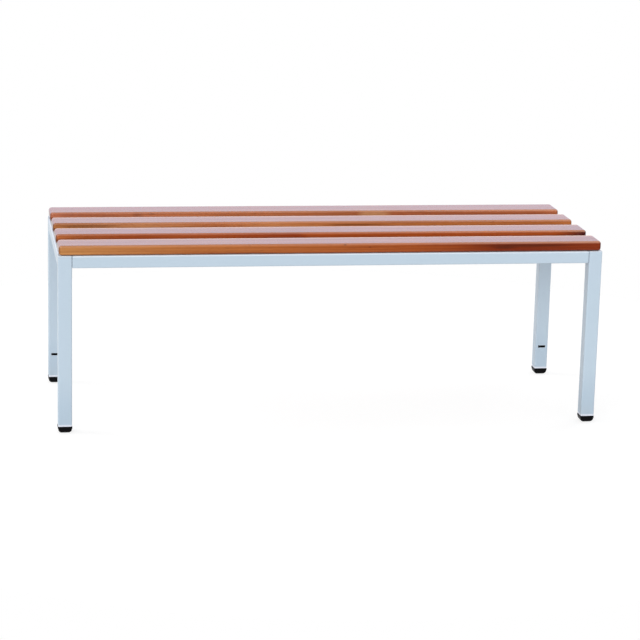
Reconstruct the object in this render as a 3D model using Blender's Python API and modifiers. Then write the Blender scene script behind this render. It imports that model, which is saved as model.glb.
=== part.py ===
# Slatted bench: hardwood slats screwed to a welded frame of square steel tube, standing on plug feet.
# The origin is on the floor under the middle of the seat, +X runs along the seat and -Y is the front.

import math

import bmesh
import bpy

# Overall sizes, in metres
frame_length = 1.200
seat_height = 0.415

# Steel tubes of the frame
leg_tube = 0.030
rail_height = 0.0265
tube_wall = 0.0015
bend_inner_radius = 0.0012
bend_segments = 4
cap_thickness = 0.002

# Slot in the inner face of each leg, measured from the leg's lower end to the slot's middle
slot_length = 0.018
slot_height = 0.0058
slot_corner = 0.0015
slot_corner_segments = 2
slot_rise = 0.055

# Seat slats, from front to rear
slat_names = ("front_slat", "front_middle_slat", "rear_middle_slat", "rear_slat")
slat_width = 0.069
slat_gap = 0.0545
slat_thickness = 0.0215
slat_edge_radius = 0.0038
slat_end_radius = 0.0065
slat_edge_segments = 4
slat_setback = 0.005
slat_end_inset = 0.0018

# Plug feet: tread below the tube, ribbed insert inside it
foot_base = 0.012
foot_dome_height = 0.010
foot_dome_segments = 5
foot_rim_height = 0.0045
foot_rim_step = 0.0006
foot_lip = 0.0006
insert_rib_count = 3
insert_rib_height = 0.0015
insert_rib_pitch = 0.005
insert_rib_depth = 0.002
insert_lead = 0.003

# Slat screws
screw_shank = 0.0045
screw_point = 0.005
screw_head = 0.0092
screw_head_rim = 0.0009
screw_head_height = 0.0029
screw_cover = 0.007
screw_steps = 12
screw_dome_steps = 3
recess_length = 0.0046
recess_width = 0.0011
recess_depth = 0.0016
hole_clearance = 0.0004
hole_segments = 12

# Gap left between pieces that touch, and how far a cutter runs past what it cuts
touch_gap = 0.0003
cut_margin = 0.0012

# Places that follow from the sizes. The rails are as deep as the legs, so both of their faces run flush.
bend_radius = bend_inner_radius + tube_wall
rail_depth = leg_tube
slat_pitch = slat_width + slat_gap
frame_depth = slat_width + (len(slat_names) - 1) * slat_pitch + 2 * slat_setback
foot_height = foot_dome_height + foot_rim_height
leg_bottom = foot_height + touch_gap
frame_top = seat_height - slat_thickness - touch_gap
leg_height = frame_top - leg_bottom
rail_bottom = frame_top - rail_height
slat_bottom = frame_top + touch_gap
slat_length = frame_length - 2 * slat_end_inset
leg_x = (frame_length - leg_tube) / 2
leg_y = (frame_depth - leg_tube) / 2
between_legs_x = frame_length - 2 * leg_tube - 2 * touch_gap
between_legs_y = frame_depth - 2 * leg_tube - 2 * touch_gap
between_rails_y = frame_depth - 2 * rail_depth - 2 * touch_gap

# Edges that turn by more than this stay sharp in the shading
sharp_angle = math.radians(35)

sides = {"left": -1, "right": 1}
rows = {"front": -1, "rear": 1}


def linear_colour(red, green, blue):
    channels = [value / 255 for value in (red, green, blue)]
    return tuple(c / 12.92 if c <= 0.04045 else ((c + 0.055) / 1.055) ** 2.4 for c in channels) + (1.0,)


def make_material(name, colour, roughness, metallic):
    material = bpy.data.materials.new(name)
    material.use_nodes = True
    shader = material.node_tree.nodes["Principled BSDF"]
    shader.inputs["Base Color"].default_value = colour
    shader.inputs["Roughness"].default_value = roughness
    shader.inputs["Metallic"].default_value = metallic
    material.diffuse_color = colour
    return material


def add_part(name, mesh, material, location):
    part = bpy.data.objects.new(name, mesh)
    part.location = location
    part.parent = bench_empty
    if not mesh.materials:
        mesh.materials.append(material)
    part_collection.objects.link(part)
    return part


def add_cutter(name, mesh, location):
    cutter = bpy.data.objects.new(name, mesh)
    cutter.location = location
    cutter.parent = bench_empty
    cutter.hide_render = True
    cutter.display_type = "WIRE"
    cutter_collection.objects.link(cutter)
    return cutter


def cut(part, cutter):
    boolean = part.modifiers.new("cut " + cutter.name, "BOOLEAN")
    boolean.operation = "DIFFERENCE"
    boolean.solver = "EXACT"
    boolean.object = cutter


def finish_mesh(bm, name):
    mesh = bpy.data.meshes.new(name)
    bm.to_mesh(mesh)
    bm.free()
    mesh.shade_smooth()
    mesh.set_sharp_from_angle(angle=sharp_angle)
    return mesh


def edges_along(bm, axis):
    found = []
    for edge in bm.edges:
        run = (edge.verts[1].co - edge.verts[0].co).normalized()
        if round(abs(run[axis])) == 1:
            found.append(edge)
    return found


def block(size, axis=None, radius=0.0, segments=bend_segments):
    # A box, with its edges along one axis rounded where an axis is given
    bm = bmesh.new()
    bmesh.ops.create_cube(bm, size=1.0)
    bmesh.ops.scale(bm, vec=size, verts=bm.verts)
    if axis is not None:
        bmesh.ops.bevel(
            bm, geom=edges_along(bm, axis), offset=radius, segments=segments, profile=0.5, affect="EDGES"
        )
    bm.normal_update()
    return bm


def make_tube(name, size, axis, material, location):
    # An open skin bent round at its long edges, thickened inwards to the wall
    bm = block(size, axis, bend_radius)
    ends = [face for face in bm.faces if round(abs(face.normal[axis])) == 1]
    bmesh.ops.delete(bm, geom=ends, context="FACES_ONLY")
    tube = add_part(name, finish_mesh(bm, name), material, location)
    solidify = tube.modifiers.new("wall", "SOLIDIFY")
    solidify.thickness = tube_wall
    solidify.offset = -1.0
    solidify.use_even_offset = True
    return tube


def bearing_middle(low_a, high_a, low_b, high_b):
    # Middle of the stretch where two pieces lie on each other
    return (max(low_a, low_b) + min(high_a, high_b)) / 2


def make_legs():
    for row, row_sign in rows.items():
        for side, side_sign in sides.items():
            place = f"{row}_{side}"
            x = side_sign * leg_x
            y = row_sign * leg_y
            size = (leg_tube, leg_tube, leg_height)
            leg = make_tube("leg_" + place, size, 2, frame_paint, (x, y, leg_bottom + leg_height / 2))
            slot_size = (slot_length, 2 * (tube_wall + cut_margin), slot_height)
            bm = block(slot_size, 1, slot_corner, slot_corner_segments)
            inner_face = y - row_sign * leg_tube / 2
            slot_place = (x, inner_face, leg_bottom + slot_rise)
            cut(leg, add_cutter("slot " + place, finish_mesh(bm, "slot " + place), slot_place))


def make_leg_caps():
    # Plates welded into the upper ends of the legs, flush with the frame's top
    width = leg_tube - 2 * tube_wall - 2 * touch_gap
    for row, row_sign in rows.items():
        for side, side_sign in sides.items():
            name = f"leg_cap_{row}_{side}"
            bm = block((width, width, cap_thickness), 2, bend_inner_radius)
            place = (side_sign * leg_x, row_sign * leg_y, frame_top - cap_thickness / 2)
            add_part(name, finish_mesh(bm, name), frame_paint, place)


def make_rails():
    # Long rails between the legs, end rails between front and rear leg, one rail across the middle
    height = frame_top - rail_height / 2
    long_y = (frame_depth - rail_depth) / 2
    end_x = (frame_length - rail_depth) / 2
    for row, row_sign in rows.items():
        size = (between_legs_x, rail_depth, rail_height)
        make_tube(row + "_rail", size, 0, frame_paint, (0.0, row_sign * long_y, height))
    cross_rails = {}
    for side, side_sign in sides.items():
        size = (rail_depth, between_legs_y, rail_height)
        rail = make_tube(side + "_end_rail", size, 1, frame_paint, (side_sign * end_x, 0.0, height))
        cross_rails[side] = (rail, side_sign * end_x, between_legs_y / 2)
    size = (rail_depth, between_rails_y, rail_height)
    rail = make_tube("centre_rail", size, 1, frame_paint, (0.0, 0.0, height))
    cross_rails["centre"] = (rail, 0.0, between_rails_y / 2)
    return cross_rails


def make_slats():
    # Long edges and ends are rounded in one bevel, each by its own share of the larger radius
    slats = []
    widest_radius = max(slat_edge_radius, slat_end_radius)
    for index, name in enumerate(slat_names):
        y = -frame_depth / 2 + slat_setback + slat_width / 2 + index * slat_pitch
        bm = block((slat_length, slat_width, slat_thickness))
        weight = bm.edges.layers.float.new("bevel_weight_edge")
        long_edges = edges_along(bm, 0)
        for edge in bm.edges:
            radius = slat_edge_radius if edge in long_edges else slat_end_radius
            edge[weight] = radius / widest_radius
        place = (0.0, y, slat_bottom + slat_thickness / 2)
        slat = add_part(name, finish_mesh(bm, name), slat_varnish[name], place)
        bevel = slat.modifiers.new("rounded edges", "BEVEL")
        bevel.width = widest_radius
        bevel.segments = slat_edge_segments
        bevel.limit_method = "WEIGHT"
        slats.append((name, slat, y))
    return slats


def turned_mesh(name, profile, steps):
    # A profile of (radius, height) points, listed from its top to its bottom, turned about Z
    bm = bmesh.new()
    points = [bm.verts.new((radius, 0.0, height)) for radius, height in profile]
    for first, second in zip(points, points[1:]):
        bm.edges.new((first, second))
    guide = add_cutter(name + " profile", finish_mesh(bm, name + " profile"), (0.0, 0.0, 0.0))
    screw = guide.modifiers.new("turned", "SCREW")
    screw.steps = steps
    screw.render_steps = steps
    screw.use_merge_vertices = True
    screw.merge_threshold = 0.00001
    evaluated = guide.evaluated_get(bpy.context.evaluated_depsgraph_get())
    mesh = bpy.data.meshes.new_from_object(evaluated)
    mesh.name = name
    bpy.data.objects.remove(guide)
    return mesh


def screw_profile(length):
    # Point, shank, flat under the head and domed head, with the seat of the head at height 0
    shank = screw_shank / 2
    head = screw_head / 2
    dome = screw_head_height - screw_head_rim
    profile = [(0.0, length), (shank, length - screw_point), (shank, 0.0), (head, 0.0)]
    for step in range(screw_dome_steps):
        turn = math.pi / 2 * step / screw_dome_steps
        profile.append((head * math.cos(turn), -screw_head_rim - dome * math.sin(turn)))
    profile.append((0.0, -screw_head_height))
    return profile


def cylinder_cutter(name, radius, low, high, places):
    # Upright round holes of one radius, at a list of (x, y) places
    bm = bmesh.new()
    for x, y in places:
        made = bmesh.ops.create_cone(
            bm, cap_ends=True, segments=hole_segments, radius1=radius, radius2=radius, depth=high - low
        )
        bmesh.ops.translate(bm, vec=(x, y, (low + high) / 2), verts=made["verts"])
    return add_cutter(name, finish_mesh(bm, name), (0.0, 0.0, 0.0))


def make_screws(slats, cross_rails):
    # Each screw goes up through a cross rail, in the middle of a slat's bearing on it
    seat = rail_bottom - touch_gap
    tip = slat_bottom + slat_thickness - screw_cover
    screw_mesh = turned_mesh("slat_screw", screw_profile(tip - seat), screw_steps)
    slat_half = slat_width / 2
    places_by_slat = {name: [] for name, slat, y in slats}
    for side, (rail, rail_x, rail_half) in cross_rails.items():
        places = []
        for name, slat, slat_y in slats:
            x = bearing_middle(
                -slat_length / 2, slat_length / 2, rail_x - rail_depth / 2, rail_x + rail_depth / 2
            )
            y = bearing_middle(slat_y - slat_half, slat_y + slat_half, -rail_half, rail_half)
            screw = add_part(f"{name}_screw_{side}", screw_mesh, zinc, (x, y, seat))
            cut_recess(screw)
            places.append((x, y))
            places_by_slat[name].append((x, y))
        hole = screw_shank / 2 + hole_clearance
        low = rail_bottom - cut_margin
        high = frame_top + cut_margin
        cut(rail, cylinder_cutter(side + " rail holes", hole, low, high, places))
    pilot = screw_shank / 2 + touch_gap
    for name, slat, y in slats:
        low = slat_bottom - cut_margin
        high = tip + touch_gap
        cut(slat, cylinder_cutter(name + " pilot holes", pilot, low, high, places_by_slat[name]))


def cut_recess(screw):
    # Cross recess in the head, from two crossed bars
    x, y, seat = screw.location
    top = seat - screw_head_height + recess_depth
    bottom = seat - screw_head_height - cut_margin
    for axis in (0, 1):
        size = [recess_width, recess_width, top - bottom]
        size[axis] = recess_length
        bm = block(size)
        name = f"recess {axis} {screw.name}"
        cut(screw, add_cutter(name, finish_mesh(bm, name), (x, y, (top + bottom) / 2)))


def foot_sections():
    # Half widths and heights of the foot's square sections, from the floor up
    rim = leg_tube / 2 + foot_lip
    dome_top = rim - foot_rim_step
    base = foot_base / 2
    sections = []
    for step in range(foot_dome_segments + 1):
        turn = math.pi / 2 * step / foot_dome_segments
        width = base + (dome_top - base) * math.sin(turn)
        sections.append((width, foot_dome_height * (1 - math.cos(turn))))
    sections += [(rim, foot_dome_height), (rim, foot_height)]
    rib = leg_tube / 2 - tube_wall - touch_gap
    core = rib - insert_rib_depth
    sections.append((core, foot_height))
    for index in range(insert_rib_count):
        high = foot_height + insert_rib_pitch * (index + 1)
        low = high - insert_rib_height
        sections += [(core, low), (rib, low), (rib, high), (core, high)]
    insert_top = foot_height + insert_rib_pitch * insert_rib_count + insert_lead
    sections.append((core, insert_top))
    return sections


def make_feet():
    sections = foot_sections()
    first = sections[0][0]
    corner = bend_radius * first / (leg_tube / 2)
    bm = bmesh.new()
    made = bmesh.ops.create_grid(bm, x_segments=1, y_segments=1, size=first)
    bmesh.ops.bevel(
        bm, geom=made["verts"], offset=corner, segments=bend_segments, profile=0.5, affect="VERTICES"
    )
    ring = list(bm.edges)
    width, height = sections[0]
    for next_width, next_height in sections[1:]:
        raised = bmesh.ops.extrude_edge_only(bm, edges=ring)["geom"]
        verts = [item for item in raised if isinstance(item, bmesh.types.BMVert)]
        ring = [
            item for item in raised if isinstance(item, bmesh.types.BMEdge) and set(item.verts) <= set(verts)
        ]
        scale = next_width / width
        bmesh.ops.scale(bm, vec=(scale, scale, 1.0), verts=verts)
        bmesh.ops.translate(bm, vec=(0.0, 0.0, next_height - height), verts=verts)
        width, height = next_width, next_height
    bmesh.ops.contextual_create(bm, geom=ring)
    bmesh.ops.recalc_face_normals(bm, faces=bm.faces)
    foot_mesh = finish_mesh(bm, "plug_foot")
    for row, row_sign in rows.items():
        for side, side_sign in sides.items():
            place = (side_sign * leg_x, row_sign * leg_y, 0.0)
            add_part(f"foot_{row}_{side}", foot_mesh, foot_plastic, place)


for leftover in list(bpy.data.objects):
    bpy.data.objects.remove(leftover)

part_collection = bpy.data.collections.new("slatted_bench")
cutter_collection = bpy.data.collections.new("cutters")
bpy.context.scene.collection.children.link(part_collection)
bpy.context.scene.collection.children.link(cutter_collection)
bench_empty = bpy.data.objects.new("bench_origin", None)
part_collection.objects.link(bench_empty)

frame_paint = make_material("pale_blue_powder_coat", linear_colour(193, 211, 226), 0.38, 0.0)
foot_plastic = make_material("black_plug_plastic", linear_colour(16, 17, 18), 0.3, 0.0)
zinc = make_material("zinc_plated_steel", linear_colour(176, 178, 180), 0.35, 1.0)
slat_tones = ((172, 102, 50), (152, 78, 42), (172, 104, 54), (158, 88, 52))
slat_varnish = {
    name: make_material("varnish_" + name, linear_colour(*tone), 0.22, 0.0)
    for name, tone in zip(slat_names, slat_tones)
}

make_legs()
make_leg_caps()
make_feet()
make_screws(make_slats(), make_rails())
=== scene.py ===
import math

import bmesh
import bpy
from mathutils import Matrix, Vector


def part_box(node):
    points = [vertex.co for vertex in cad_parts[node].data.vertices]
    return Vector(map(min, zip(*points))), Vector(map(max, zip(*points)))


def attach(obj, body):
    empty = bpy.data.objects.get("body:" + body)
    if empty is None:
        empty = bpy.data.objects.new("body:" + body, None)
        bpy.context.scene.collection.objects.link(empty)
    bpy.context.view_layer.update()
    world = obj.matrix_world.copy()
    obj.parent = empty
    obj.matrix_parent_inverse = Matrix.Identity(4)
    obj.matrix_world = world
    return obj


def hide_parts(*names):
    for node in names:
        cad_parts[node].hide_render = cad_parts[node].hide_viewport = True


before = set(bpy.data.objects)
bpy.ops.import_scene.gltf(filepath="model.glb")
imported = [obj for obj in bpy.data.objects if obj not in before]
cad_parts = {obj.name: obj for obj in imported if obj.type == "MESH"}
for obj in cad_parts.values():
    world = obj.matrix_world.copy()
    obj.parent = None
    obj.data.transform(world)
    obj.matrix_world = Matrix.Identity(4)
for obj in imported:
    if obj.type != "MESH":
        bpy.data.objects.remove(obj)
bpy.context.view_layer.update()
scene = bpy.context.scene
print("frame loaded,", len(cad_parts), "solids")


def linear(red, green, blue):
    # screen colour, 0 to 255, to the linear colour that shaders take
    parts = [value / 255 for value in (red, green, blue)]
    return tuple(p / 12.92 if p <= 0.04045 else ((p + 0.055) / 1.055) ** 2.4 for p in parts) + (1.0,)


def boxOf(node):
    # middle and size of a solid
    low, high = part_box(node)
    low, high = Vector(low), Vector(high)
    return (low + high) / 2, high - low


class Wire:
    # an output socket that takes part in Python maths
    def __init__(self, sheet, socket):
        self.sheet = sheet
        self.socket = socket

    def maths(self, operation, *terms):
        return self.sheet.node("Math", {"operation": operation}, dict(enumerate(terms)))

    def __add__(self, other):
        return self.maths("ADD", self, other)

    def __radd__(self, other):
        return self.maths("ADD", other, self)

    def __sub__(self, other):
        return self.maths("SUBTRACT", self, other)

    def __rsub__(self, other):
        return self.maths("SUBTRACT", other, self)

    def __mul__(self, other):
        return self.maths("MULTIPLY", self, other)

    def __rmul__(self, other):
        return self.maths("MULTIPLY", other, self)

    def __truediv__(self, other):
        return self.maths("DIVIDE", self, other)

    def __rtruediv__(self, other):
        return self.maths("DIVIDE", other, self)

    def __pow__(self, other):
        return self.maths("POWER", self, other)

    def __rpow__(self, other):
        return self.maths("POWER", other, self)

    def __abs__(self):
        return self.maths("ABSOLUTE", self)

    def fraction(self):
        return self.maths("FRACT", self)

    def larger(self, other):
        return self.maths("MAXIMUM", self, other)


class Sheet:
    # the node tree of a finish
    def __init__(self, tree):
        self.tree = tree
        tree.nodes.clear()

    def node(self, kind, settings=None, sockets=None, out=0):
        made = self.tree.nodes.new("ShaderNode" + kind)
        for key, value in (settings or {}).items():
            if key == "stops":
                self.fillRamp(made.color_ramp, value)
            else:
                setattr(made, key, value)
        for key, value in (sockets or {}).items():
            if isinstance(value, Wire):
                self.tree.links.new(value.socket, made.inputs[key])
            else:
                made.inputs[key].default_value = value
        return Wire(self, made.outputs[out]) if made.outputs else made

    def fillRamp(self, ramp, stops):
        while len(ramp.elements) < len(stops):
            ramp.elements.new(1.0)
        for element, (place, colour) in zip(ramp.elements, stops):
            element.position = place
            element.color = colour

    def outputs(self, wire):
        # every output of the node that a wire comes from, by name
        return {output.name: Wire(self, output) for output in wire.socket.node.outputs}

    def parts(self, vector):
        # x, y and z of a vector
        return list(self.outputs(self.node("SeparateXYZ", None, {0: vector})).values())

    def blend(self, factor, first, second, mode="MIX"):
        settings = {"data_type": "RGBA", "blend_type": mode}
        return self.node("Mix", settings, {0: factor, 6: first, 7: second}, out=2)

    def stretch(self, vector, scale, shift=(0.0, 0.0, 0.0)):
        sockets = {0: vector, 1: scale, 2: shift}
        return self.node("VectorMath", {"operation": "MULTIPLY_ADD"}, sockets)

    def noise(self, vector, detail=2.0, roughness=0.5, scale=1.0):
        sockets = {"Vector": vector, "Scale": scale, "Detail": detail, "Roughness": roughness}
        return self.node("TexNoise", None, sockets)

    def between(self, value, low, high):
        # rises softly from 0 at low to 1 at high, and high may be the smaller of the two
        return self.node("MapRange", {"interpolation_type": "SMOOTHSTEP"}, {0: value, 1: low, 2: high})


def newFinish(name):
    material = bpy.data.materials.new(name)
    material.use_nodes = True
    return material, Sheet(material.node_tree)


def surface(sheet, shader):
    sheet.node("OutputMaterial", None, {"Surface": shader})


def bumped(sheet, height, strength, distance):
    return sheet.node("Bump", None, {"Strength": strength, "Distance": distance, "Height": height})


sharpTurn = math.radians(40)   # edges that turn by more stay sharp


def smoothMesh(bm, name, sharp=sharpTurn):
    bmesh.ops.recalc_face_normals(bm, faces=bm.faces)
    mesh = bpy.data.meshes.new(name)
    bm.to_mesh(mesh)
    bm.free()
    mesh.shade_smooth()
    mesh.set_sharp_from_angle(angle=sharp)
    return mesh


def addPiece(name, mesh, middle, material, slotName, *nodes):
    piece = bpy.data.objects.new(name, mesh)
    piece.location = middle
    scene.collection.objects.link(piece)
    mesh.materials.append(material)
    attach(piece, "root")
    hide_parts(*nodes)
    return piece


def evenShading(piece):
    # flat faces stay flat beside rounded edges
    even = piece.modifiers.new("evenShading", "WEIGHTED_NORMAL")
    even.mode = "FACE_AREA"
    even.weight = 100
    even.keep_sharp = True


def carve(piece, bm):
    # cut a closed cutter out of a piece for good, which makes the piece's rounding final too
    cutter = bpy.data.objects.new("cutter", smoothMesh(bm, "cutter"))
    scene.collection.objects.link(cutter)
    cut = piece.modifiers.new("cut", "BOOLEAN")
    cut.operation = "DIFFERENCE"
    cut.solver = "EXACT"
    cut.object = cutter
    shape = piece.evaluated_get(bpy.context.evaluated_depsgraph_get())
    mesh = bpy.data.meshes.new_from_object(shape)
    mesh.name = piece.name
    mesh.set_sharp_from_angle(angle=sharpTurn)
    piece.modifiers.clear()
    piece.data = mesh
    bpy.data.objects.remove(cutter)


def roundedLoop(halfWide, halfHigh, radius, steps):
    # points of a rounded rectangle, counter-clockwise
    points = []
    for quarter, (signU, signV) in enumerate(((1, 1), (-1, 1), (-1, -1), (1, -1))):
        for step in range(steps + 1):
            turn = math.pi / 2 * (quarter + step / steps)
            u = signU * (halfWide - radius) + radius * math.cos(turn)
            v = signV * (halfHigh - radius) + radius * math.sin(turn)
            points.append((u, v))
    return points


def alongAxis(points, axis, run):
    # lay section points across an axis, at a place along it
    placed = []
    for u, v in points:
        point = [0.0, 0.0, 0.0]
        point[axis] = run
        point[(axis + 1) % 3] = u
        point[(axis + 2) % 3] = v
        placed.append(point)
    return placed


def loft(bm, loops):
    # skin a run of loops that all have the same number of points
    rings = [[bm.verts.new(point) for point in loop] for loop in loops]
    count = len(rings[0])
    for lower, upper in zip(rings, rings[1:]):
        for i in range(count):
            j = (i + 1) % count
            bm.faces.new((lower[i], lower[j], upper[j], upper[i]))
    return rings


# Slat screws: zinc plate on their own solids, and the drills that make room for them

drillShape = {"railRadius": 0.00265, "pilotRadius": 0.00255, "steps": 24, "past": 0.0012, "tipGap": 0.0003}

zincLook = {
    "zinc": linear(186, 188, 190), "stainAndShade": linear(150, 144, 128), "stainedAndShaded": (0.45, 0.75),
    "patchSize": 420.0, "fineSize": 3200.0, "relief": (0.1, 0.0001),
    "roughness": 0.30, "fineRoughness": 0.2, "patchRoughness": 0.1,
}


def zincPlate(name):
    look = zincLook
    material, sheet = newFinish(name)
    place = sheet.node("NewGeometry", None, None, out="Position")
    patch = sheet.noise(place, detail=3.0, scale=look["patchSize"])
    fine = sheet.noise(place, detail=2.0, scale=look["fineSize"])
    roughness = look["roughness"] + (fine - 0.5) * look["fineRoughness"] + patch * look["patchRoughness"]
    shader = sheet.node("BsdfPrincipled", None, {
        "Base Color": sheet.blend(sheet.between(patch, *look["stainedAndShaded"]), look["zinc"], look["stainAndShade"]),
        "Metallic": 1.0,
        "Roughness": roughness,
        "Normal": bumped(sheet, fine, *look["relief"]),
    })
    surface(sheet, shader)
    return material


def drillCutter(places, radius, low, high):
    # upright drills, as one cutter, between two heights
    bm = bmesh.new()
    for place in places:
        drill = bmesh.ops.create_cone(
            bm, cap_ends=True, segments=drillShape["steps"], radius1=radius, radius2=radius, depth=high - low
        )
        bmesh.ops.translate(bm, vec=(place.x, place.y, (low + high) / 2), verts=drill["verts"])
    return bm


# Seat slats: reddish hardwood under a clear gloss varnish

slatShape = {"edgeRadius": 0.0038, "endRadius": 0.0065, "edgeSteps": 8}

# tones run from the left end to the right end
# pith is where the rings centre, across and up from the board's middle
# the rear highlight share is how strongly the painted highlight shows along the upper rear edge
# the shade heights are where the painted shade low on the upright faces begins and is full
# marks are pin knots and dark streaks: place along, place up, half length, half height, depth
slatLooks = {
    "front_slat": {
        "piece": "frontSlatBoard",
        "tones": (
            (0.0, (192, 134, 78)), (0.28, (184, 110, 56)), (0.64, (168, 83, 33)),
            (0.81, (130, 47, 12)), (1.0, (138, 54, 19)),
        ),
        "pith": (0.030, -0.085),
        "seed": 2.3,
        "rearHighlight": 1.0,
        "stainAndShade": (-0.0065, -0.0100),
        "marks": (
            (0.022, 0.0078, 0.0042, 0.0019, 0.95), (0.077, 0.0025, 0.0042, 0.0019, 0.65),
            (-0.188, 0.0075, 0.0042, 0.0019, 0.3), (0.429, 0.0026, 0.155, 0.0044, 0.60),
            (0.378, -0.0015, 0.036, 0.0044, 0.55),
        ),
    },
    "front_middle_slat": {
        "piece": "frontMiddleSlatBoard",
        "tones": (
            (0.0, (184, 106, 58)), (0.12, (174, 83, 37)), (0.26, (182, 90, 42)),
            (0.445, (158, 65, 25)), (0.465, (184, 88, 36)), (0.70, (190, 92, 36)),
            # the last stop is painted shade on the board's right end
            (0.92, (180, 84, 32)), (0.98, (84, 27, 20)),
        ),
        "pith": (-0.055, -0.06),
        "seed": 7.9,
        "rearHighlight": 1.0,
        "stainAndShade": (0.0012, -0.0018),
        "marks": (),
    },
    "rear_middle_slat": {
        "piece": "rearMiddleSlatBoard",
        "tones": (
            (0.0, (176, 113, 64)), (0.16, (206, 140, 92)), (0.30, (194, 116, 70)),
            (0.41, (214, 140, 86)), (0.55, (194, 118, 62)), (1.0, (184, 107, 54)),
        ),
        "pith": (0.07, -0.05),
        "seed": 13.1,
        "rearHighlight": 1.0,
        "stainAndShade": (0.0012, -0.0018),
        "marks": ((-0.520, 0.0036, 0.090, 0.0036, 0.4), (0.086, 0.0028, 0.102, 0.0024, 0.55)),
    },
    "rear_slat": {
        "piece": "rearSlatBoard",
        "tones": (
            (0.0, (190, 113, 82)), (0.22, (190, 114, 74)), (0.582, (180, 105, 62)),
            (0.596, (206, 148, 100)), (0.632, (204, 145, 99)), (0.652, (182, 103, 64)),
        ),
        "pith": (-0.02, 0.07),
        "seed": 19.6,
        "rearHighlight": 0.0,
        "stainAndShade": (0.0012, -0.0018),
        "marks": ((-0.398, 0.0050, 0.016, 0.0080, 0.28), (-0.366, 0.0065, 0.012, 0.0020, 0.4)),
    },
}

# scales are noise cells per metre along, across and up
# pairs are where a mask begins and where it is full, and an inset is a distance in from a board's face
slatWoodLook = {
    "seedSpread": (1.0, 0.7, 1.3),
    "driftScale": (1.4, 14.0, 14.0),
    "ringStep": 0.0048,
    "ringWarp": 0.010,
    "ringRise": (0.35, 0.9),
    "ringFall": (1.0, 0.93),
    "ringDepth": 0.30,
    "lateWood": (0.60, 0.46, 0.40, 1.0),
    "fibreScale": (9.0, 420.0, 420.0),
    "fibreDepth": 0.7,
    "fibreTint": 0.18,
    "streakScale": (2.6, 95.0, 150.0),
    "streakBand": (0.46, 0.74),
    "streakDepth": 0.62,
    "streak": (0.56, 0.40, 0.32, 1.0),
    "paleBand": (0.46, 0.28),
    "paleDepth": 0.7,
    "pale": (1.26, 1.30, 1.34, 1.0),
    "poreScale": (55.0, 1500.0, 1500.0),
    "poreBand": (0.62, 0.72),
    "poreDepth": 0.55,
    "pore": (0.40, 0.30, 0.26, 1.0),
    "cloudScale": (3.4, 22.0, 30.0),
    "toneWander": 0.08,
    "topFacing": (0.55, 0.95),
    "topSheenDepth": 0.8,
    "paintedTopSheen": linear(178, 120, 90),
    "markReach": (1.0, 0.32),
    "markRagged": 0.5,
    "mark": linear(74, 30, 14),
    "sideInset": (0.0042, 0.0008),
    "topInset": (0.0062, 0.0006),
    "rearInset": (0.014, 0.007),
    "sideWearAndHighlightLeast": 0.05,
    "sideWearAndHighlightFibre": 0.3,
    "sideWearAndHighlightAlong": 0.42,
    "wornEdgeAndHighlight": linear(214, 150, 114),
    "rearHighlightLeast": 0.65,
    "rearHighlightFibre": 0.35,
    "paintedRearHighlight": linear(242, 184, 136),
    "paintedShadeDepth": 0.9,
    "paintedShade": (0.50, 0.42, 0.38, 1.0),
    "endFacing": (0.35, 0.9),
    "endDepth": 0.8,
    "endWood": (0.42, 0.30, 0.26, 1.0),
    "fibreRelief": 0.6,
    "poreRelief": 0.5,
    "ringRelief": 0.25,
    "relief": (0.06, 0.0004),
    "roughness": 0.19,
    "fibreRoughness": 0.12,
    "endRoughness": 0.04,
    "coat": 0.10,
    "coatCloud": 0.1,
    "coatRoughness": 0.08,
    "coatIor": 1.5,
    "ior": 1.42,
}


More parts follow.
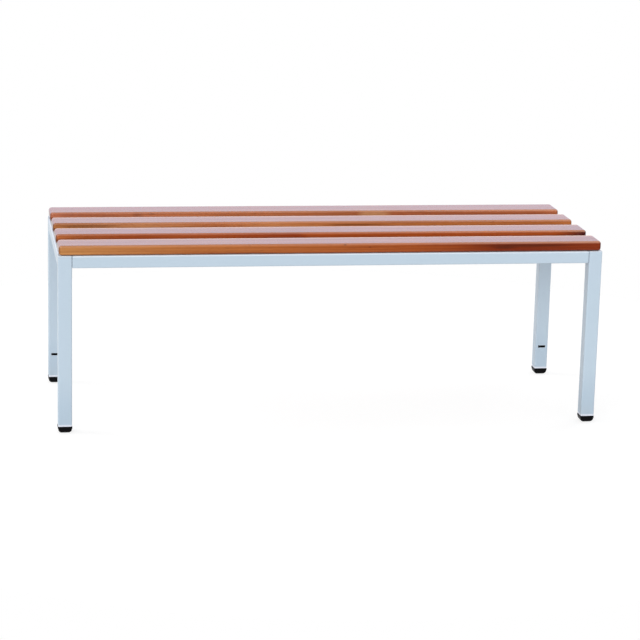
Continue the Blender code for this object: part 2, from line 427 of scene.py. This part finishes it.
def slatWood(name, look, size):
    wood = slatWoodLook
    material, sheet = newFinish(name)
    halfWide, halfThick = size.y / 2, size.z / 2
    coords = sheet.node("TexCoord", None, None, out="Object")
    x, y, z = sheet.parts(coords)
    seed = tuple(look["seed"] * share for share in wood["seedSpread"])

    # growth rings round a pith that lies outside the board and wanders along it
    drift = sheet.noise(sheet.stretch(coords, wood["driftScale"], seed), detail=2.0)
    wander = (drift - 0.5) * wood["ringWarp"]
    across = y - look["pith"][0] + wander
    above = z - look["pith"][1] + wander
    radius = (across * across + above * above) ** 0.5
    ring = (radius / wood["ringStep"]).fraction()
    lateWood = sheet.between(ring, *wood["ringRise"]) * sheet.between(ring, *wood["ringFall"])

    # fibres, long streaks and pores all run with the length
    fibre = sheet.noise(sheet.stretch(coords, wood["fibreScale"], seed), detail=3.0, roughness=0.6)
    streak = sheet.noise(sheet.stretch(coords, wood["streakScale"], seed), detail=3.0, roughness=0.6)
    streakMask = sheet.between(streak, *wood["streakBand"])
    paleMask = sheet.between(streak, *wood["paleBand"])
    poreNoise = sheet.noise(sheet.stretch(coords, wood["poreScale"], seed), detail=1.0)
    poreMask = sheet.between(poreNoise, *wood["poreBand"])
    cloud = sheet.noise(sheet.stretch(coords, wood["cloudScale"], seed), detail=2.0)

    # end grain and tops are told apart by the way they face
    facing = sheet.parts(sheet.node("TexCoord", None, None, out="Normal"))
    endMask = sheet.between(abs(facing[0]), *wood["endFacing"])
    topMask = sheet.between(facing[2], *wood["topFacing"])

    stops = [(place, linear(*tone)) for place, tone in look["tones"]]
    along = x / size.x + 0.5 + (cloud - 0.5) * wood["toneWander"]
    colour = sheet.node("ValToRGB", {"stops": stops}, {0: along})
    # painted sheen: the tops are painted paler in place of the varnish's reflection, which lightens the
    # rounded top edges too
    colour = sheet.blend(topMask * wood["topSheenDepth"], colour, wood["paintedTopSheen"])
    colour = sheet.blend(lateWood * wood["ringDepth"], colour, wood["lateWood"], "MULTIPLY")
    colour = sheet.blend(streakMask * wood["streakDepth"], colour, wood["streak"], "MULTIPLY")
    colour = sheet.blend(paleMask * wood["paleDepth"], colour, wood["pale"], "MULTIPLY")
    fibreShare = (fibre - 0.5) * wood["fibreDepth"] + wood["fibreTint"]
    colour = sheet.blend(fibreShare, colour, wood["lateWood"], "MULTIPLY")
    colour = sheet.blend(poreMask * wood["poreDepth"], colour, wood["pore"], "MULTIPLY")

    # pin knots and dark streaks, drawn out with the grain, on the upright faces
    for markX, markZ, halfLength, halfHeight, depth in look["marks"]:
        far = (((x - markX) / halfLength) ** 2 + ((z - markZ) / halfHeight) ** 2) ** 0.5
        far = far + (streak - 0.5) * wood["markRagged"]
        dark = sheet.between(far, *wood["markReach"]) * (1 - topMask) * depth
        colour = sheet.blend(dark, colour, wood["mark"])

    # the front top edges are a little worn and carry a painted highlight, the upper rear edges carry a
    # painted highlight, and painted shade lies low on the upright faces
    nearSide = sheet.between(abs(y), *(halfWide - inset for inset in wood["sideInset"]))
    nearTop = sheet.between(z, *(halfThick - inset for inset in wood["topInset"]))
    nearRear = sheet.between(y, *(halfWide - inset for inset in wood["rearInset"]))
    stainedAndShaded = sheet.between(z, *look["stainAndShade"])
    sideWearAndHighlight = wood["sideWearAndHighlightLeast"] + fibre * wood["sideWearAndHighlightFibre"] + along * along * wood["sideWearAndHighlightAlong"]
    rearHighlight = (wood["rearHighlightLeast"] + fibre * wood["rearHighlightFibre"]) * look["rearHighlight"]
    # wear with a painted highlight along the front top edges, stronger towards the right end
    colour = sheet.blend(nearSide * nearTop * sideWearAndHighlight, colour, wood["wornEdgeAndHighlight"])
    # painted highlight along the upper rear edge
    colour = sheet.blend(nearRear * nearTop * rearHighlight, colour, wood["paintedRearHighlight"])
    # painted shade low on the upright faces, in the gaps between the slats and along the front slat's lower
    # edge
    colour = sheet.blend(stainedAndShaded * wood["paintedShadeDepth"], colour, wood["paintedShade"], "MULTIPLY")

    # end grain drinks more stain
    colour = sheet.blend(endMask * wood["endDepth"], colour, wood["endWood"], "MULTIPLY")

    relief = fibre * wood["fibreRelief"] - poreMask * wood["poreRelief"] + lateWood * wood["ringRelief"]
    roughness = wood["roughness"] + (fibre - 0.5) * wood["fibreRoughness"] + endMask * wood["endRoughness"]
    shader = sheet.node("BsdfPrincipled", None, {
        "Base Color": colour,
        "Roughness": roughness,
        "Coat Weight": wood["coat"] + (cloud - 0.5) * wood["coatCloud"],
        "Coat Roughness": wood["coatRoughness"],
        "Coat IOR": wood["coatIor"],
        "IOR": wood["ior"],
        "Normal": bumped(sheet, relief, *wood["relief"]),
    })
    surface(sheet, shader)
    return material


def makeSlats():
    for node, look in slatLooks.items():
        middle, size = boxOf(node)
        bm = bmesh.new()
        bmesh.ops.create_cube(bm, size=1.0)
        bmesh.ops.scale(bm, vec=size, verts=bm.verts)
        share = bm.edges.layers.float.new("bevel_weight_edge")
        for edge in bm.edges:
            endEdge = edge.calc_length() < size.x / 2
            edge[share] = 1.0 if endEdge else slatShape["edgeRadius"] / slatShape["endRadius"]
        mesh = smoothMesh(bm, look["piece"], sharp=math.pi)
        board = addPiece(look["piece"], mesh, middle, slatWoods[node], "slat_wood", node)
        rounding = board.modifiers.new("roundedEdges", "BEVEL")
        rounding.width = slatShape["endRadius"]
        rounding.segments = slatShape["edgeSteps"]
        rounding.limit_method = "WEIGHT"

        # blind pilot holes from below, a little longer than the screws
        screws = [boxOf(f"{node}_screw_{side}") for side in ("left", "centre", "right")]
        places = [place for place, extent in screws]
        tip = max(place.z + extent.z / 2 for place, extent in screws)
        low = middle.z - size.z / 2 - drillShape["past"]
        carve(board, drillCutter(places, drillShape["pilotRadius"], low, tip + drillShape["tipGap"]))
        evenShading(board)


# Frame: pale blue-grey powder coat on steel tube

tubeShape = {
    "bendRadius": 0.0027, "wall": 0.0015, "bendSteps": 7, "endInset": 0.0014, "endSteps": 4,
    "legEndRun": 0.0008, "railEndRun": 0.0030, "bareShare": 0.9, "mergeReach": 0.000001,
}

slotShape = {"length": 0.018, "height": 0.0058, "corner": 0.0015, "rise": 0.055, "steps": 5}

# pairs are where a mask begins and where it is full, and heights are metres above the floor
powderLook = {
    "paint": linear(186, 204, 218),
    "paintCloud": linear(193, 207, 222),
    "cloudScale": (7.0, 16.0, 11.0),
    "cloudDepth": 0.5,
    "cloudTint": 0.2,
    "edgeReach": 0.0022,
    "edgeBend": (0.995, 0.90),
    "upperBendStart": (0.1, 0.4),
    "upperBendEnd": (0.995, 0.95),
    "edgeHighlightDepth": 0.7,
    "topFacing": (0.96, 0.99),
    "topHighlightDepth": 0.9,
    "paintedHighlight": linear(228, 237, 246),
    "weldBand": (0.0018, 0.0008),
    "weldDirtAndShade": (0.79, 0.80, 0.82, 1.0),
    "lowerDarkHeight": (0.13, 0.05),
    "lowerDarkTone": (0.92, 0.94, 0.96, 1.0),
    "dustHeight": (0.09, 0.01),
    "dustPatch": (0.45, 0.7),
    "dustDepth": 0.25,
    "dust": linear(176, 186, 192),
    "cutEndHeight": (0.0208, 0.0175),
    "cutEndHighlightDepth": 0.85,
    "cutEndHighlight": linear(232, 236, 248),
    "peelSize": 620.0,
    "speckSize": 2400.0,
    "speckShare": 0.25,
    "relief": (0.10, 0.0003),
    "roughness": 0.31,
    "peelRoughness": 0.14,
    "dustRoughness": 0.15,
    "ior": 1.5,
}


def weldMask(sheet, places, node, axis):
    # near both ends of a rail, where it is welded to the legs
    band = powderLook["weldBand"]
    middle, size = boxOf(node)
    side = 1 - axis
    inner = abs(middle[side]) - size[side] / 2
    low = middle.z - size.z / 2
    nearEnd = sheet.between(abs(abs(places[axis]) - size[axis] / 2), *band)
    inRow = sheet.between(abs(places[side]), inner - band[0], inner)
    return nearEnd * inRow * sheet.between(places[2], low - band[0], low)


def powderCoat(name):
    look = powderLook
    material, sheet = newFinish(name)
    place = sheet.node("NewGeometry", None, None, out="Position")
    places = sheet.parts(place)
    height = places[2]
    cloud = sheet.noise(sheet.stretch(place, look["cloudScale"]), detail=3.0)
    peel = sheet.noise(place, detail=1.0, scale=look["peelSize"])
    speck = sheet.noise(place, detail=0.0, scale=look["speckSize"])

    # painted highlight, pale, on the bends and on all that looks partly upward
    bend = sheet.node("Bevel", {"samples": 4}, {"Radius": look["edgeReach"]})
    facing = sheet.node("NewGeometry", None, None, out="Normal")
    level = sheet.node("VectorMath", {"operation": "DOT_PRODUCT"}, {0: bend, 1: facing}, out="Value")
    upward = sheet.parts(facing)[2]
    upperBend = sheet.between(upward, *look["upperBendStart"]) * sheet.between(upward, *look["upperBendEnd"])
    edge = sheet.between(level, *look["edgeBend"]).larger(upperBend)
    topMask = sheet.between(upward, *look["topFacing"])

    # dirt and painted shade line the welds, and the rear and right rails mirror the front and left ones
    weld = weldMask(sheet, places, "front_rail", 0).larger(weldMask(sheet, places, "left_end_rail", 1))

    # lower ends are darker towards the bottom and dusty, and the cut ends carry a painted highlight
    lowerDark = sheet.between(height, *look["lowerDarkHeight"])
    dusty = sheet.between(height, *look["dustHeight"]) * sheet.between(cloud, *look["dustPatch"])
    cutEndHighlight = sheet.between(height, *look["cutEndHeight"])

    cloudShare = (cloud - 0.5) * look["cloudDepth"] + look["cloudTint"]
    colour = sheet.blend(cloudShare, look["paint"], look["paintCloud"])
    # painted highlight on the bends, then on the level tops
    colour = sheet.blend(edge * look["edgeHighlightDepth"], colour, look["paintedHighlight"])
    colour = sheet.blend(topMask * look["topHighlightDepth"], colour, look["paintedHighlight"])
    colour = sheet.blend(weld, colour, look["weldDirtAndShade"], "MULTIPLY")
    # darker towards the bottom
    colour = sheet.blend(lowerDark, colour, look["lowerDarkTone"], "MULTIPLY")
    colour = sheet.blend(dusty * look["dustDepth"], colour, look["dust"])
    # painted highlight on the cut ends
    colour = sheet.blend(cutEndHighlight * look["cutEndHighlightDepth"], colour, look["cutEndHighlight"])
    shader = sheet.node("BsdfPrincipled", None, {
        "Base Color": colour,
        "Roughness": look["roughness"] + (peel - 0.5) * look["peelRoughness"] + dusty * look["dustRoughness"],
        "IOR": look["ior"],
        "Normal": bumped(sheet, peel + speck * look["speckShare"], *look["relief"]),
    })
    surface(sheet, shader)
    return material


steelLook = {
    "scale": linear(9, 8, 8), "bare": linear(22, 22, 23), "patchSize": 130.0, "worn": (0.4, 0.7),
    "metallic": 0.3, "roughness": 0.6, "patchRoughness": 0.3,
}


def bareSteel(name):
    # unpainted inside of the tubes, seen through the slots
    look = steelLook
    material, sheet = newFinish(name)
    place = sheet.node("NewGeometry", None, None, out="Position")
    patch = sheet.noise(place, detail=4.0, scale=look["patchSize"])
    shader = sheet.node("BsdfPrincipled", None, {
        "Base Color": sheet.blend(sheet.between(patch, *look["worn"]), look["scale"], look["bare"]),
        "Metallic": look["metallic"],
        "Roughness": look["roughness"] + (patch - 0.5) * look["patchRoughness"],
    })
    surface(sheet, shader)
    return material


def tubeMesh(name, size, axis, endRun):
    shape = tubeShape
    wall, bend, steps = shape["wall"], shape["bendRadius"], shape["bendSteps"]
    halfWide, halfHigh = size[(axis + 1) % 3] / 2, size[(axis + 2) % 3] / 2
    half = size[axis] / 2

    # the outer skin rounds in at both ends, then the inner skin runs back through the tube
    outer = []
    for step in range(shape["endSteps"] + 1):
        turn = math.pi / 2 * step / shape["endSteps"]
        inset = shape["endInset"] * (1 - math.sin(turn))
        outer.append((inset, -half + endRun * (1 - math.cos(turn))))
    outer += [(inset, -run) for inset, run in reversed(outer)]
    loops = []
    for inset, run in outer:
        points = roundedLoop(halfWide - inset, halfHigh - inset, bend - inset, steps)
        loops.append(alongAxis(points, axis, run))
    inside = roundedLoop(halfWide - wall, halfHigh - wall, bend - wall, steps)
    loops += [alongAxis(inside, axis, half), alongAxis(inside, axis, -half), loops[0]]
    bm = bmesh.new()
    loft(bm, loops)
    bmesh.ops.remove_doubles(bm, verts=bm.verts, dist=shape["mergeReach"])

    # faces that lie most of the wall's thickness in are the bare inside
    for face in bm.faces:
        middle = face.calc_center_median()
        reach = (abs(middle[(axis + 1) % 3]) - halfWide, abs(middle[(axis + 2) % 3]) - halfHigh)
        face.material_index = int(max(reach) < -wall * shape["bareShare"])
    return smoothMesh(bm, name)


def addTube(name, node, axis, endRun):
    middle, size = boxOf(node)
    tube = addPiece(name, tubeMesh(name, size, axis, endRun), middle, powder, "frame_paint", node)
    tube.data.materials.append(steel)
    return tube


def slotCutter(middle):
    # the section lies in z and x, across the leg's wall
    shape = slotShape
    points = roundedLoop(shape["height"] / 2, shape["length"] / 2, shape["corner"], shape["steps"])
    deep = tubeShape["wall"] * 2
    bm = bmesh.new()
    rings = loft(bm, [alongAxis(points, 1, -deep), alongAxis(points, 1, deep)])
    for ring in rings:
        bm.faces.new(ring)
    bmesh.ops.translate(bm, vec=middle, verts=bm.verts)
    return bm


def makeLegs():
    for row, rowSign in (("front", -1), ("rear", 1)):
        for side in ("left", "right"):
            node = f"leg_{row}_{side}"
            name = row + side.capitalize() + "LegTube"
            leg = addTube(name, node, 2, tubeShape["legEndRun"])
            middle, size = boxOf(node)
            inner = (middle.x, middle.y - rowSign * size.y / 2, middle.z - size.z / 2 + slotShape["rise"])
            carve(leg, slotCutter(inner))
            evenShading(leg)


def makeRails():
    rails = (
        ("frontRailTube", "front_rail", 0, None), ("rearRailTube", "rear_rail", 0, None),
        ("leftEndRailTube", "left_end_rail", 1, "left"), ("rightEndRailTube", "right_end_rail", 1, "right"),
        ("centreRailTube", "centre_rail", 1, "centre"),
    )
    for name, node, axis, screwSide in rails:
        rail = addTube(name, node, axis, tubeShape["railEndRun"])
        if screwSide:
            middle, size = boxOf(node)
            reach = size.z / 2 + drillShape["past"]
            places = [boxOf(f"{slat}_screw_{screwSide}")[0] for slat in slatLooks]
            carve(rail, drillCutter(places, drillShape["railRadius"], middle.z - reach, middle.z + reach))
        evenShading(rail)


# Plug feet: black moulded plastic

footShape = {
    "tread": 0.012, "domeHeight": 0.010, "domeSteps": 12, "cornerSteps": 7,
    "rimHeight": 0.0045, "rimStep": 0.0006, "rimRound": 0.0007, "rimEase": 0.00021, "rimLift": 0.00028,
    "insertHalf": 0.0112, "insertLead": 0.003,
    "ribCount": 3, "ribPitch": 0.005, "ribHeight": 0.0015, "ribReach": 0.002,
}

footLook = {
    "plastic": linear(4, 4, 6), "scuffed": linear(24, 24, 25), "grainSize": 1800.0,
    "smearScale": (160.0, 160.0, 420.0), "scuffHeight": (0.0035, 0.0), "scuffPatch": (0.42, 0.66),
    "scuffDepth": 0.6, "roughness": 0.40, "smearRoughness": 0.2, "scuffRoughness": 0.25,
    "ior": 1.48, "specular": 0.07, "relief": (0.12, 0.0002),
}


def footPlastic(name):
    look = footLook
    material, sheet = newFinish(name)
    coords = sheet.node("TexCoord", None, None, out="Object")
    height = sheet.parts(coords)[2]
    grain = sheet.noise(coords, detail=2.0, scale=look["grainSize"])
    smear = sheet.noise(sheet.stretch(coords, look["smearScale"]), detail=3.0)
    scuff = sheet.between(height, *look["scuffHeight"]) * sheet.between(smear, *look["scuffPatch"])
    roughness = look["roughness"] + (smear - 0.5) * look["smearRoughness"] + scuff * look["scuffRoughness"]
    shader = sheet.node("BsdfPrincipled", None, {
        "Base Color": sheet.blend(scuff * look["scuffDepth"], look["plastic"], look["scuffed"]),
        "Roughness": roughness,
        "IOR": look["ior"],
        "Specular IOR Level": look["specular"],
        "Normal": bumped(sheet, grain, *look["relief"]),
    })
    surface(sheet, shader)
    return material


def footSections(rim):
    # half widths and heights of a foot's square sections, from the tread up
    shape = footShape
    base = shape["tread"] / 2
    domeTop = rim - shape["rimStep"]
    sections = []
    for step in range(shape["domeSteps"] + 1):
        turn = math.pi / 2 * step / shape["domeSteps"]
        width = base + (domeTop - base) * math.sin(turn)
        sections.append((width, shape["domeHeight"] * (1 - math.cos(turn))))

    # thin rim under the tube's end
    rimTop = shape["domeHeight"] + shape["rimHeight"]
    soft, ease = shape["rimRound"], shape["rimEase"]
    sections += [
        (rim - ease, shape["domeHeight"]), (rim, shape["domeHeight"] + shape["rimLift"]),
        (rim, rimTop - soft), (rim - ease, rimTop - ease), (rim - soft, rimTop),
    ]

    # ribbed insert inside the tube
    core = shape["insertHalf"]
    rib = core + shape["ribReach"]
    sections.append((core, rimTop))
    for index in range(shape["ribCount"]):
        high = rimTop + shape["ribPitch"] * (index + 1)
        low = high - shape["ribHeight"]
        sections += [(core, low), (rib, low), (rib, high), (core, high)]
    sections.append((core, high + shape["insertLead"]))
    return sections


def makeFeet():
    for row in ("front", "rear"):
        for side in ("left", "right"):
            node = f"foot_{row}_{side}"
            name = row + side.capitalize() + "PlugFoot"
            middle, size = boxOf(node)
            rim = size.x / 2
            loops = []
            for width, height in footSections(rim):
                corner = tubeShape["bendRadius"] * width / rim
                points = roundedLoop(width, width, corner, footShape["cornerSteps"])
                loops.append(alongAxis(points, 2, height))
            bm = bmesh.new()
            rings = loft(bm, loops)
            bm.faces.new(rings[0])
            bm.faces.new(rings[-1])
            place = Vector((middle.x, middle.y, 0.0))
            evenShading(addPiece(name, smoothMesh(bm, name), place, plastic, "foot_plastic", node))


slatWoods = {node: slatWood(look["piece"] + "Wood", look, boxOf(node)[1]) for node, look in slatLooks.items()}
powder = powderCoat("palePowderCoat")
steel = bareSteel("bareTubeSteel")
plastic = footPlastic("blackFootPlastic")
zinc = zincPlate("screwZinc")
print("finishes made:", len(bpy.data.materials))

makeSlats()
makeLegs()
makeRails()
makeFeet()

# leg caps and screws keep their solids and get the finished materials
for node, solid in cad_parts.items():
    if node.startswith("leg_cap_"):
        solid.data.materials[0] = powder
    if "_screw_" in node:
        solid.data.materials[0] = zinc


# Stage: a pale floor that fades into white, soft light and the camera

stageLook = {
    "floorRadius": 1.4, "floorSteps": 128, "floorGlow": 0.76, "floorShade": (0.34, 0.34, 0.34, 1.0),
    "floorWhite": (0.4, 0.4, 0.4, 1.0), "apronRadius": 9.0, "apronSteps": 24, "apronDrop": 0.002,
    "apronDark": (0.03, 0.03, 0.03, 1.0), "white": (1.0, 1.0, 1.0, 1.0), "backdrop": 1.0, "ambient": 0.44,
}

lamps = {
    "keySun": {"from": (-0.42, -0.88, 0.24), "strength": 1.75, "angle": 40.0},
    "fillSun": {"from": (0.45, -0.88, 0.14), "strength": 0.65, "angle": 50.0},
    "sideSun": {"from": (-0.85, 0.20, 0.60), "strength": 1.10, "angle": 35.0},
    "rearSun": {"from": (0.80, 0.65, 0.30), "strength": 0.90, "angle": 40.0},
}

panelLook = {
    "place": (0.6, 3.6, 1.25), "tilt": -90.0, "size": (7.0, 2.2), "watts": 17.0, "colour": (0.22, 0.26, 1.0),
}

cameraLook = {
    "place": (-0.8561, -5.1257, 1.4453), "turn": 0.1669, "down": 0.2368, "lean": 0.0256,
    "lens": 131.6, "sensor": 36.0,
}


def seenDirectly(sheet):
    # one for rays that the camera sends, straight or by way of gloss or glass
    rays = sheet.outputs(sheet.node("LightPath"))
    return rays["Is Camera Ray"].larger(rays["Is Glossy Ray"].larger(rays["Is Transmission Ray"]))


def addStage(name, bm):
    mesh = bpy.data.meshes.new(name)
    bm.to_mesh(mesh)
    bm.free()
    stand = bpy.data.objects.new(name, mesh)
    scene.collection.objects.link(stand)
    material, sheet = newFinish(name)
    mesh.materials.append(material)
    return stand, sheet


def makeFloor():
    look = stageLook
    bm = bmesh.new()
    bmesh.ops.create_circle(bm, cap_ends=True, segments=look["floorSteps"], radius=look["floorRadius"])
    floor, sheet = addStage("paleFloor", bm)
    white = sheet.node("BsdfDiffuse", None, {"Color": look["floorWhite"]})
    shaded = sheet.node("BsdfDiffuse", None, {"Color": look["floorShade"]})
    glow = sheet.node("Emission", None, {"Strength": look["floorGlow"]})
    bright = sheet.node("AddShader", None, {0: shaded, 1: glow})
    surface(sheet, sheet.node("MixShader", None, {0: seenDirectly(sheet), 1: white, 2: bright}))


def makeApron():
    # dark cloth before the floor, seen only in gloss, that keeps the front faces deep in colour
    look = stageLook
    steps = look["apronSteps"]
    turns = [math.pi * (1 + step / steps) for step in range(steps + 1)]
    bm = bmesh.new()
    arcs = []
    for radius in (look["floorRadius"], look["apronRadius"]):
        arcs.append([bm.verts.new((radius * math.cos(t), radius * math.sin(t), 0.0)) for t in turns])
    inner, outer = arcs
    for i in range(steps):
        bm.faces.new((inner[i], outer[i], outer[i + 1], inner[i + 1]))
    apron, sheet = addStage("darkApron", bm)
    apron.location.z = -look["apronDrop"]
    apron.visible_camera = False
    apron.visible_diffuse = False
    apron.visible_transmission = False
    apron.visible_shadow = False
    surface(sheet, sheet.node("BsdfDiffuse", None, {"Color": look["apronDark"]}))


def makeWorld():
    look = stageLook
    world = bpy.data.worlds.new("whiteStudio")
    world.use_nodes = True
    scene.world = world
    sheet = Sheet(world.node_tree)
    soft = sheet.node("Background", None, {"Color": look["white"], "Strength": look["ambient"]})
    backdrop = sheet.node("Background", None, {"Color": look["white"], "Strength": look["backdrop"]})
    mixed = sheet.node("MixShader", None, {0: seenDirectly(sheet), 1: soft, 2: backdrop})
    sheet.node("OutputWorld", None, {"Surface": mixed})


def makeLamps():
    for name, look in lamps.items():
        sun = bpy.data.lights.new(name, "SUN")
        sun.energy = look["strength"]
        sun.angle = math.radians(look["angle"])
        lamp = bpy.data.objects.new(name, sun)
        lamp.rotation_euler = Vector(look["from"]).to_track_quat("Z", "Y").to_euler()
        scene.collection.objects.link(lamp)


def makePanel():
    # cool panel behind the bench, seen only in the varnish
    look = panelLook
    area = bpy.data.lights.new("coolPanel", "AREA")
    area.shape = "RECTANGLE"
    area.size, area.size_y = look["size"]
    area.energy = look["watts"]
    area.color = look["colour"]
    panel = bpy.data.objects.new("coolPanel", area)
    panel.location = look["place"]
    panel.rotation_euler.x = math.radians(look["tilt"])
    panel.visible_camera = False
    panel.visible_diffuse = False
    scene.collection.objects.link(panel)


def makeCamera():
    look = cameraLook
    data = bpy.data.cameras.new("photoCamera")
    data.lens = look["lens"]
    data.sensor_width = look["sensor"]
    camera = bpy.data.objects.new("photoCamera", data)
    aim = Matrix.Rotation(-look["turn"], 4, "Z") @ Matrix.Rotation(math.pi / 2 - look["down"], 4, "X")
    camera.matrix_world = Matrix.Translation(look["place"]) @ aim @ Matrix.Rotation(look["lean"], 4, "Z")
    scene.collection.objects.link(camera)
    scene.camera = camera


makeFloor()
makeApron()
makeWorld()
makeLamps()
makePanel()
makeCamera()
scene.view_settings.view_transform = "Standard"
print("stage set")
